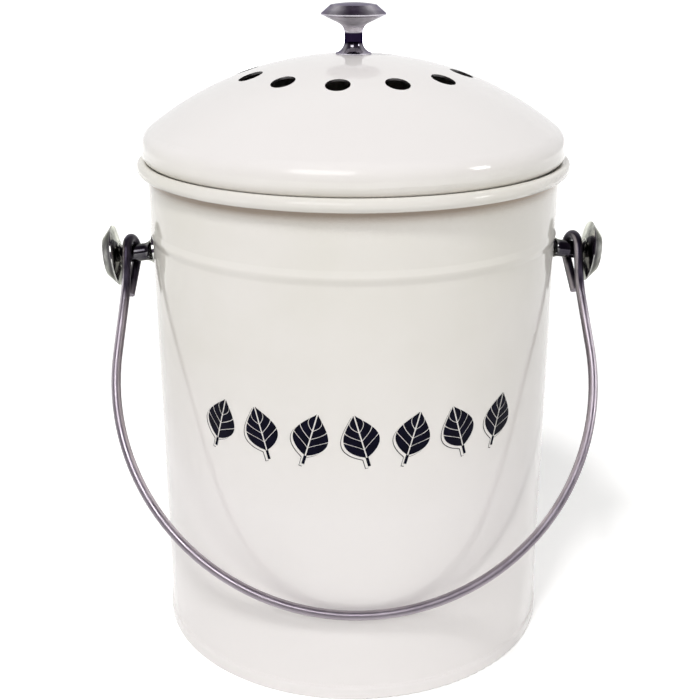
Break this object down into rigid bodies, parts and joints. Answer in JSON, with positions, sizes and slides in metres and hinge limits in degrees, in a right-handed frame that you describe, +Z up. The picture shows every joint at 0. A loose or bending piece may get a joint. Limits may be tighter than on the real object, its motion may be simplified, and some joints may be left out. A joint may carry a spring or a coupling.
{
  "type": "compost bin",
  "caption": "Lidded enamelled steel pail for kitchen scraps, with a vented domed lid that holds a charcoal filter, turned knobs and a wire bail.",
  "frame": {"origin": "on the pail's axis, in the plane that the foot stands on", "axes": "+Z up along the pail's axis, -Y towards the front, where the bail rests, and X through the ears"},
  "size_m": [0.2206, 0.1854, 0.2789],
  "materials": {
    "enamel": "gloss",
    "chrome": "polished",
    "wire": "semi gloss, plated",
    "zinc": "satin",
    "clip_steel": "satin",
    "rubber": "matt",
    "charcoal_fleece": "matt",
    "retainer_plastic": "satin"
  },
  "bodies": {
    "pail": {"pail_wall": "enamel", "pail_base": "enamel", "ear_knob_right": "chrome", "ear_knob_left": "chrome", "ear_seal_right": "rubber", "ear_seal_left": "rubber", "ear_washers": "zinc", "ear_screws": "zinc"},
    "bail": {"bail_handle": "wire"},
    "lid": {"lid_dome": "enamel", "lid_knob": "chrome", "lid_knob_washer": "zinc", "lid_knob_screw": "zinc", "lid_locating_ring": "enamel", "bayonet_clips": "clip_steel", "filter_pad": "charcoal_fleece"},
    "retainer": {"filter_retainer": "retainer_plastic"}
  },
  "joints": [
    {"name": "bail_swing", "type": "hinge", "parent": "pail", "child": "bail", "pos_m": [0, 0, 0.17266], "axis": [-1, 0, 0], "range_deg": [0, 290]},
    {"name": "lid_lift", "type": "slide", "parent": "pail", "child": "lid", "axis": [0, 0, 1], "range_m": [0, 0.15]},
    {"name": "retainer_turn", "type": "hinge", "parent": "lid", "child": "retainer", "pos_m": [0, 0, 0.2062], "axis": [0, 0, 1], "range_deg": [0, 30]}
  ]
}
